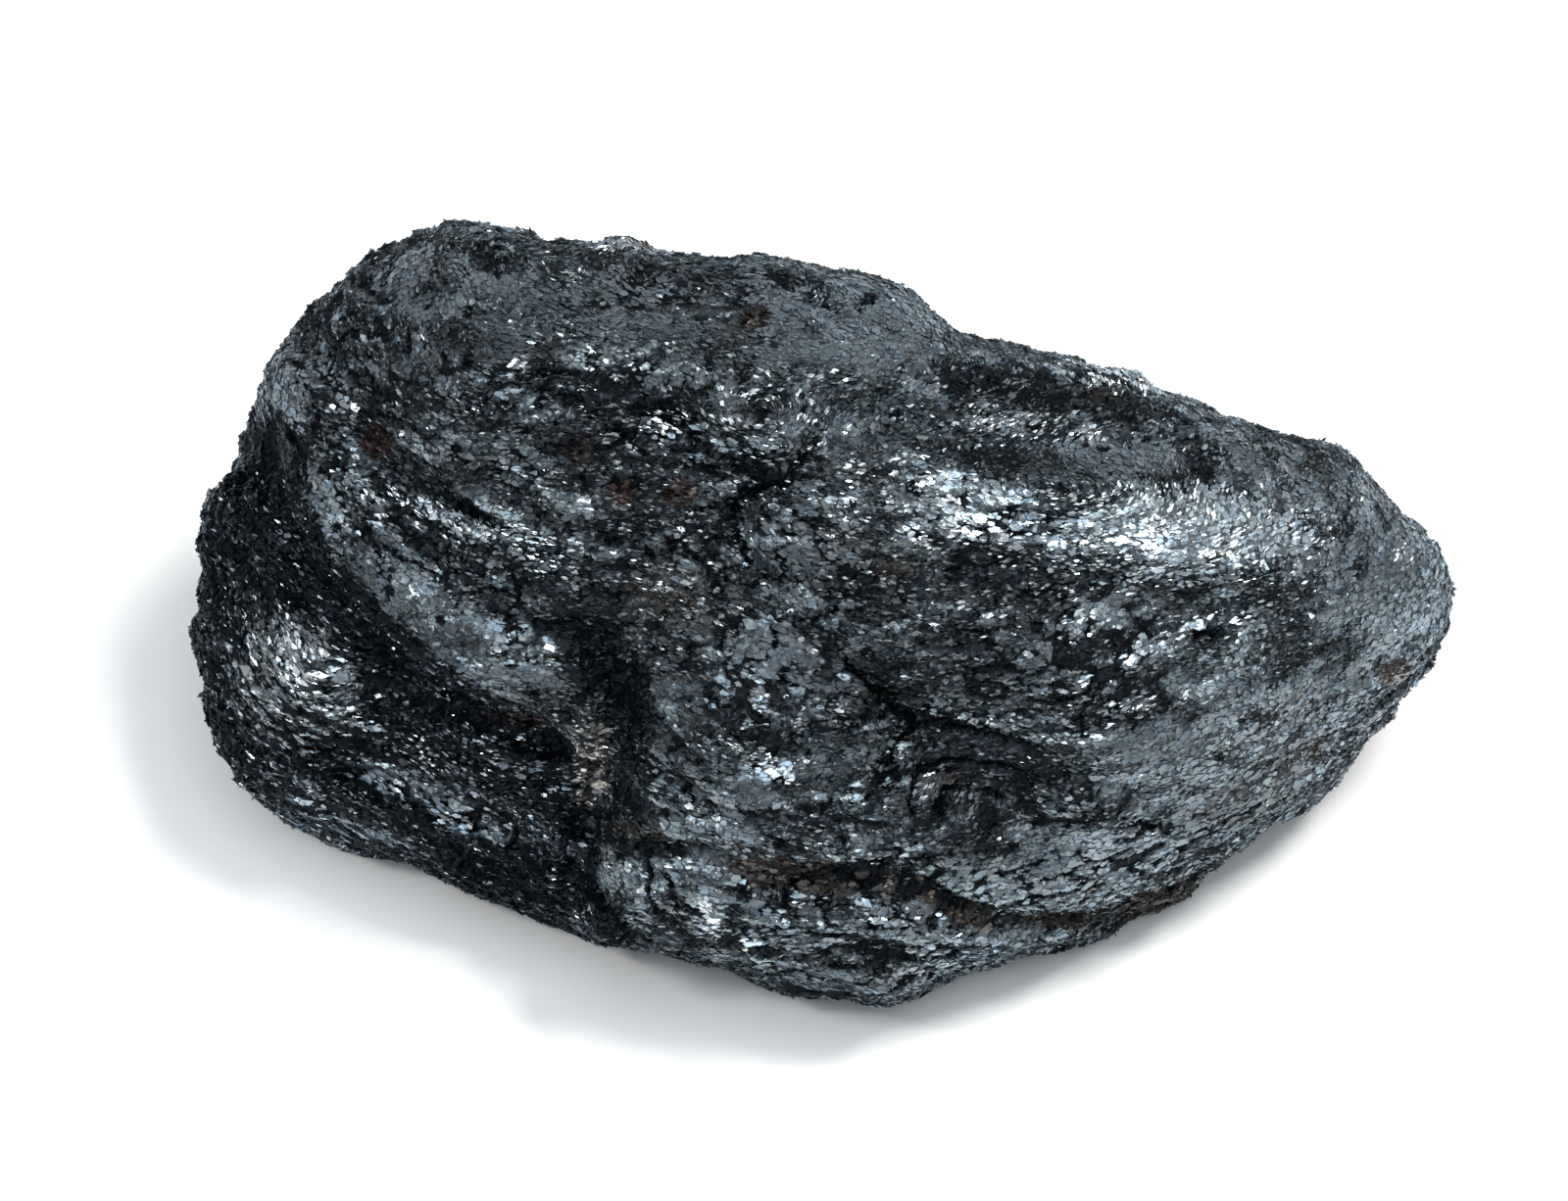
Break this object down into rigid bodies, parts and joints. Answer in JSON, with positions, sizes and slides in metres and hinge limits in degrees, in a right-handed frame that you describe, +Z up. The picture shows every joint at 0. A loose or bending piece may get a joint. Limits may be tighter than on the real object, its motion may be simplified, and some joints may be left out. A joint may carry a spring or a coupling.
{
  "type": "hematite specimen",
  "caption": "Hand specimen of specular hematite: a folded, foliated dark grey lump with scaly steel-blue crystal plates, resting on a flat break.",
  "frame": {"origin": "centre of the bounding box's bottom, on the flat break that the specimen rests on", "axes": "+X along the specimen's length, towards its pointed end; +Z up; the display face looks up and towards -Y"},
  "size_m": [0.096, 0.0578, 0.0433],
  "materials": {
    "hematite": "glittering dark steel grey, scaly and foliated, with dull brownish black matrix between the plates"
  },
  "bodies": {
    "root": {"hematite_specimen": "hematite"}
  },
  "joints": []
}
